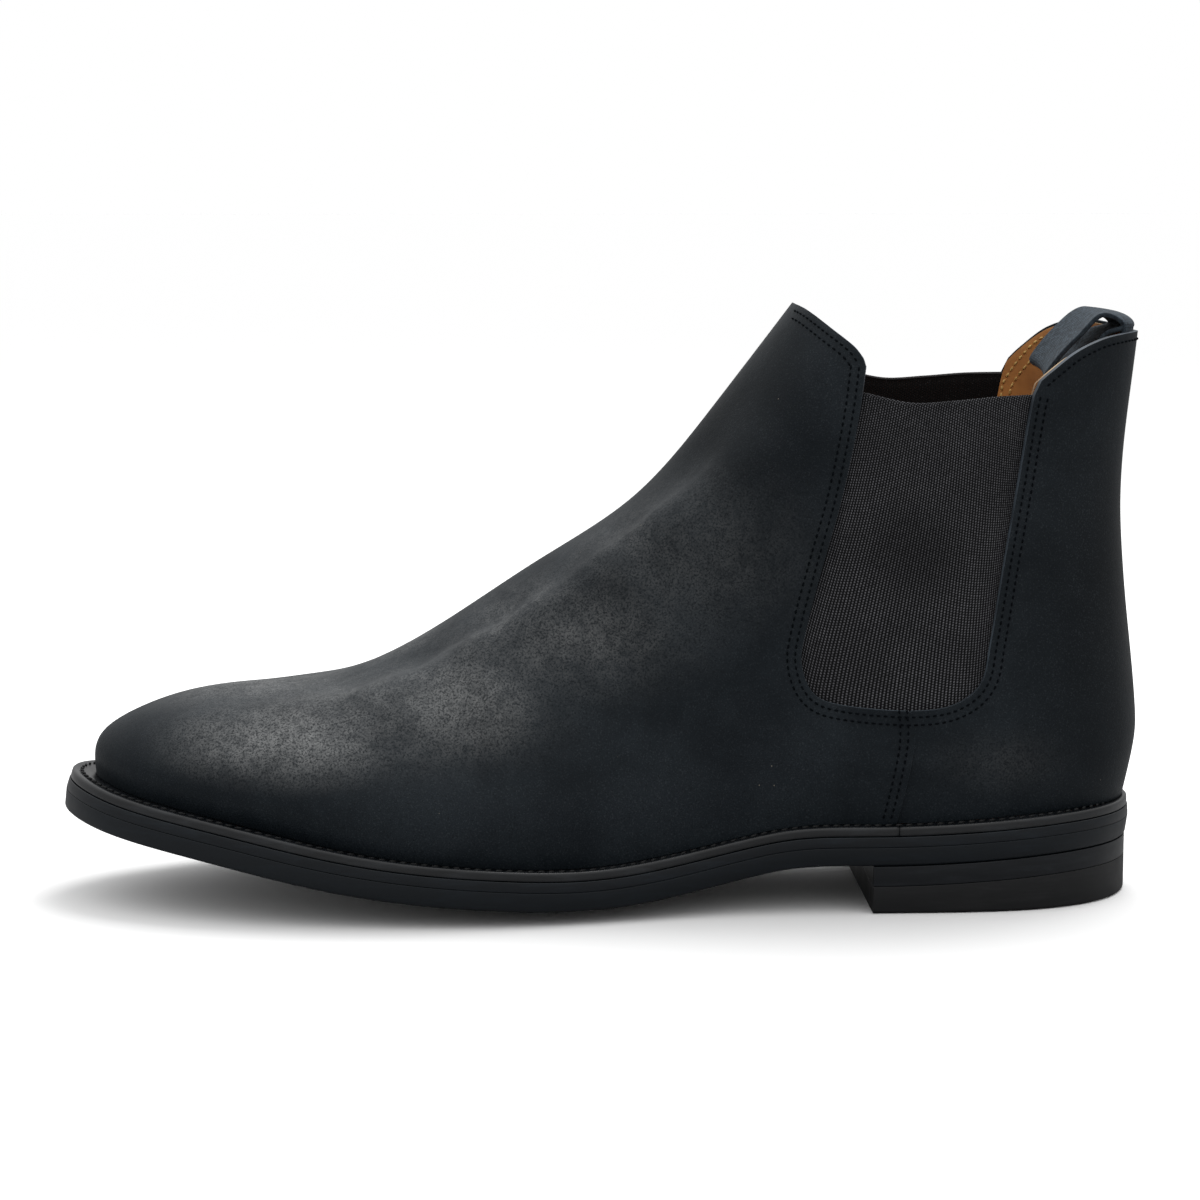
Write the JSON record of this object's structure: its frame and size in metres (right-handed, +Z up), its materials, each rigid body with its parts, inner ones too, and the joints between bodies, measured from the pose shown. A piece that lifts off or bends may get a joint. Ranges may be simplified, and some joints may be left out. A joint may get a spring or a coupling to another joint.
{
  "type": "chelsea boot",
  "caption": "Left ankle boot with elastic side gussets, a webbing pull loop at the back and a welted rubber sole with a stacked heel.",
  "frame": {"origin": "on the floor under the middle of the boot's footprint", "axes": "+X from toe to heel, -Y the outer (lateral) side of this left boot, +Z up"},
  "size_m": [0.3062, 0.1045, 0.1675],
  "materials": {
    "waxed_leather": "waxed rough-out leather, dark navy, mottled grey burnish",
    "tan_lining": "smooth tan lining leather",
    "gusset_elastic": "ribbed charcoal elastic webbing",
    "loop_webbing": "woven navy webbing",
    "stiffener_board": "stiffened fibre and canvas",
    "insole_leather": "natural vegetable tanned leather",
    "edge_leather": "black waxed and burnished edge",
    "cork": "cork granules in binder",
    "sole_rubber": "black satin moulded rubber",
    "shank_steel": "tempered strip steel",
    "nail_steel": "bright steel nail"
  },
  "bodies": {
    "boot": {"front_panel": "waxed_leather", "quarter_lateral": "waxed_leather", "quarter_medial": "waxed_leather", "vamp_lining": "tan_lining", "quarter_lining_lateral": "tan_lining", "quarter_lining_medial": "tan_lining", "elastic_lateral": "gusset_elastic", "elastic_medial": "gusset_elastic", "toe_puff": "stiffener_board", "heel_counter": "stiffener_board", "insole": "insole_leather", "heel_sock": "tan_lining", "welt": "edge_leather", "heel_rand": "edge_leather", "insole_rib": "stiffener_board", "cork_filler": "cork", "shank": "shank_steel", "midsole": "edge_leather", "outsole": "sole_rubber", "heel_lift": "edge_leather", "top_piece": "sole_rubber", "heel_nail_1": "nail_steel", "heel_nail_2": "nail_steel", "heel_nail_3": "nail_steel", "heel_nail_4": "nail_steel", "heel_nail_5": "nail_steel", "heel_nail_6": "nail_steel"},
    "loop": {"pull_loop": "loop_webbing"}
  },
  "joints": [
    {"name": "pull_loop_swing", "type": "hinge", "parent": "boot", "child": "loop", "pos_m": [0.1502, 0, 0.1612], "axis": [0, 1, 0], "range_deg": [-5, 115]}
  ]
}
